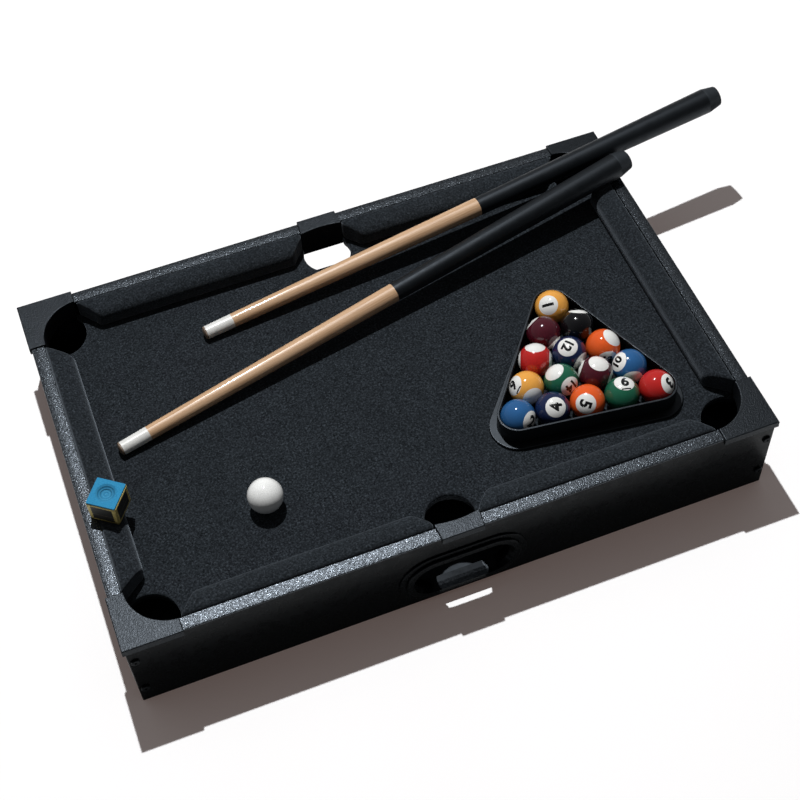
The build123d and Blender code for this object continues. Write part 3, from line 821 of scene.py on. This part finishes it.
def cloth_piece():
    """The felt of the field, in place of the CAD's flat sheet."""
    edge = spaced(outline_of("field_cloth", cloth_top), cloth_edge_step)
    outward = ways_out(edge)
    pocket = [in_pocket(p) for p in edge]
    points, faces, rim = level_sheet(edge, outward, pocket)
    turn_down(points, faces, rim, edge, outward, pocket)
    cloth = make_piece("field_felt", points, faces, table_felt)
    cloth_area = clean_sheet(cloth.data)
    thicken = cloth.modifiers.new("thickness", "SOLIDIFY")
    thicken.thickness = cloth_thickness
    thicken.offset = -1
    apply_modifiers(cloth)
    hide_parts("field_cloth")
    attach(cloth, "table")


cloth_piece()


# Chalk: the CAD cube in blue, and a paper wrapper round its sides
def chalk_look(axes):
    """Pressed chalk powder with faint grooves worn round the hollow, and painted shade darkening the hollow.
    """
    look = Look("blue chalk", roughness=0.9, specular=0.15)
    x, y, _ = look.split(look.local(chalk_middle, axes))
    radius = look.math("SQRT", look.math("ADD", look.times(x, x), look.times(y, y)))
    grooves = look.math("SINE", look.times(radius, 2 * pi / groove_pitch))
    powder = look.noise(0.6 * MM, detail=4, roughness=0.7)
    colour = look.ramp(powder, (0.3, (0.02, 0.18, 0.36)), (0.55, (0.034, 0.26, 0.47)),
                       (0.8, (0.07, 0.35, 0.56)))
    # Painted shade: the powder is coloured darker towards the middle of the hollow, standing in for the
    # shade in it; the same mask holds the worn grooves.
    wear_and_shade = look.grade(radius, wear_and_shade_from, wear_and_shade_to)
    colour_with_hollow_shade = look.mix(look.times(wear_and_shade, 0.35), colour, (0.035, 0.16, 0.28))
    bright = look.times(look.math("GREATER_THAN", grooves, 0.5), wear_and_shade)
    look.put("Base Color", look.mix(look.times(bright, 0.16), colour_with_hollow_shade, (0.15, 0.5, 0.66)))
    dish = look.grade(radius, dish_floor, dish_radius, interpolation_type="SMOOTHSTEP")
    hollow = look.bump(dish, dish_depth)
    grooved = look.bump(look.times(grooves, wear_and_shade), groove_depth, under=hollow)
    look.bump(powder, 0.15 * MM, strength=0.6, under=grooved)
    return look.material


def wrapper_look(axes):
    """Printed paper: a dull gold frame round a bare dark panel on each side."""
    look = Look("chalk wrapper", roughness=0.55, specular=0.4)
    x, y, z = look.split(look.local(chalk_middle, axes))
    along = look.math("MINIMUM", look.math("ABSOLUTE", x), look.math("ABSOLUTE", y))
    panel = look.math("LESS_THAN", along, chalk_half - frame_side)
    below = look.math("LESS_THAN", z, chalk_height / 2 - frame_top)
    above = look.math("GREATER_THAN", z, frame_bottom - chalk_height / 2)
    dark = look.times(look.times(panel, below), above)
    rule = look.add("ShaderNodeMath", {0: z, 1: rule_level, 2: rule_half}, operation="COMPARE").outputs[0]
    wear = look.noise(1.6 * MM, detail=4, roughness=0.7)
    gold = look.ramp(wear, (0.3, (0.34, 0.25, 0.06)), (0.55, (0.62, 0.50, 0.17)), (0.8, (0.72, 0.62, 0.30)))
    ground = look.mix(look.times(rule, 0.5), (0.012, 0.012, 0.010), (0.25, 0.22, 0.15))
    look.put("Base Color", look.mix(dark, gold, ground))
    look.bump(wear, 0.08 * MM, strength=0.6)
    return look.material


def wrapper_outline():
    """Points inside the paper and ways out of it, round the cube with its corners rounded."""
    reach = chalk_half - wrapper_corner
    corners = []
    for quarter, (x, y) in enumerate(((1, 1), (-1, 1), (-1, -1), (1, -1))):
        for step in range(wrapper_corner_steps + 1):
            angle = quarter * pi / 2 + step * pi / (2 * wrapper_corner_steps)
            corners.append((Vector((x * reach, y * reach)), Vector((cos(angle), sin(angle)))))
    outline = []
    for (here, way), (after, _) in around(corners):
        outline.append((here, way))
        if here != after:
            steps = range(1, wrapper_side_steps)
            outline += [(here.lerp(after, i / wrapper_side_steps), way) for i in steps]
    return outline


def wrapper_piece(axes):
    """The paper as a thin shell that flares a little towards its top edge."""
    outline = wrapper_outline()
    tall = chalk_high.z - wrapper_below_top - chalk_low.z
    points = []
    for face in (wrapper_outer, wrapper_inner):
        for row in range(wrapper_rows):
            climb = row / (wrapper_rows - 1)
            level = chalk_low.z + wrapper_lift + tall * climb
            for place, way in outline:
                spread = place + way * wrapper_wrinkle_spread
                spot = Vector((spread.x, spread.y, level))
                wrinkle = wrapper_wrinkle * noise.noise(spot * wrapper_wrinkles_per_metre)
                flat = place + way * (wrapper_corner + face + wrapper_flare * climb ** 3 + wrinkle)
                centre = Vector((chalk_middle.x, chalk_middle.y, level))
                points.append(centre + axes[0] * flat.x + axes[1] * flat.y)
    count = len(outline)
    rings = [[start + i for i in range(count)] for start in range(0, len(points), count)]
    outer, inner = rings[:wrapper_rows], rings[wrapper_rows:]
    faces = []
    for lower, upper in zip(outer, outer[1:]):
        faces += band(lower, upper)
    for lower, upper in zip(inner, inner[1:]):
        faces += band(upper, lower)
    faces += band(inner[0], outer[0]) + band(outer[-1], inner[-1])
    wrapper = make_piece("chalk_wrapper", points, faces, wrapper_look(axes))
    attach(wrapper, "chalk")


chalk_axes = (chalk_along, chalk_across, Vector((0, 0, 1)))
dress(chalk_look(chalk_axes), "chalk")
wrapper_piece(chalk_axes)


# Floor, light and camera
def floor_look():
    """Pale paper that glows for the camera alone, so that the floor stays white far from the lamp."""
    look = Look("floor", roughness=0.9, specular=0.0)
    paper = look.ramp(look.noise(floor_grain), (0.3, 0.0), (0.7, 1.0))
    look.put("Base Color", look.mix(paper, grey(floor_tones[0]), grey(floor_tones[1])))
    seen = look.add("ShaderNodeLightPath").outputs["Is Camera Ray"]
    inputs = {0: look.coordinates, 1: (*lamp_place[:2], 0)}
    away = look.add("ShaderNodeVectorMath", inputs, operation="DISTANCE").outputs["Value"]
    far = look.grade(away, far_starts, far_ends)
    look.put("Emission Color", look.mix(far, floor_glow_colour, white))
    look.put("Emission Strength", look.times(seen, look.math("ADD", look.times(far, far_glow), floor_glow)))
    return look.material


def add_floor():
    """A flat square of floor, for the pictures only."""
    corners = [(x * floor_half, y * floor_half, 0) for x, y in ((-1, -1), (1, -1), (1, 1), (-1, 1))]
    floor = make_piece("floor", corners, [[0, 1, 2, 3]], floor_look(), smooth=False)
    floor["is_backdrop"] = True


def add_lamp():
    """A small lamp whose light doesn't weaken with distance."""
    data = bpy.data.lights.new("lamp", "POINT")
    data.energy = 1.0
    data.color = lamp_colour
    data.shadow_soft_size = lamp_radius
    data.use_nodes = True
    tree = data.node_tree
    falloff = tree.nodes.new("ShaderNodeLightFalloff")
    falloff.inputs["Strength"].default_value = lamp_power
    tree.links.new(falloff.outputs["Constant"], tree.nodes["Emission"].inputs["Strength"])
    add_object("lamp", data).location = lamp_place


def add_world():
    """A weak fill, stronger from the back, and a white sky that only the camera sees."""
    world = bpy.data.worlds.new("studio")
    world.use_nodes = True
    add, link = world.node_tree.nodes.new, world.node_tree.links.new
    fill = world.node_tree.nodes["Background"]
    fill.inputs["Color"].default_value = (*fill_colour, 1)
    direction = add("ShaderNodeSeparateXYZ")
    link(add("ShaderNodeTexCoord").outputs["Generated"], direction.inputs[0])
    lean = add("ShaderNodeMapRange")
    link(direction.outputs["Y"], lean.inputs["Value"])
    lean.inputs["From Min"].default_value = -1.0
    lean.inputs["To Min"].default_value = fill_strength * (1 - fill_lean)
    lean.inputs["To Max"].default_value = fill_strength * (1 + fill_lean)
    link(lean.outputs["Result"], fill.inputs["Strength"])
    backdrop = add("ShaderNodeBackground")
    backdrop.inputs["Color"].default_value = (*white, 1)
    chosen = add("ShaderNodeMixShader")
    link(add("ShaderNodeLightPath").outputs["Is Camera Ray"], chosen.inputs[0])
    link(fill.outputs[0], chosen.inputs[1])
    link(backdrop.outputs[0], chosen.inputs[2])
    link(chosen.outputs[0], world.node_tree.nodes["World Output"].inputs["Surface"])
    bpy.context.scene.world = world


def add_camera():
    """The camera fitted to the photograph."""
    data = bpy.data.cameras.new("camera")
    data.lens = camera_lens
    data.sensor_width = camera_sensor
    data.clip_start, data.clip_end = nearest_seen, farthest_seen
    camera = add_object("camera", data)
    camera.location = camera_place
    camera.rotation_euler = Euler([radians(a) for a in camera_turn], "XYZ")
    bpy.context.scene.camera = camera


add_floor()
add_lamp()
add_world()
add_camera()
bpy.context.scene.view_settings.view_transform = "Standard"

low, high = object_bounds()
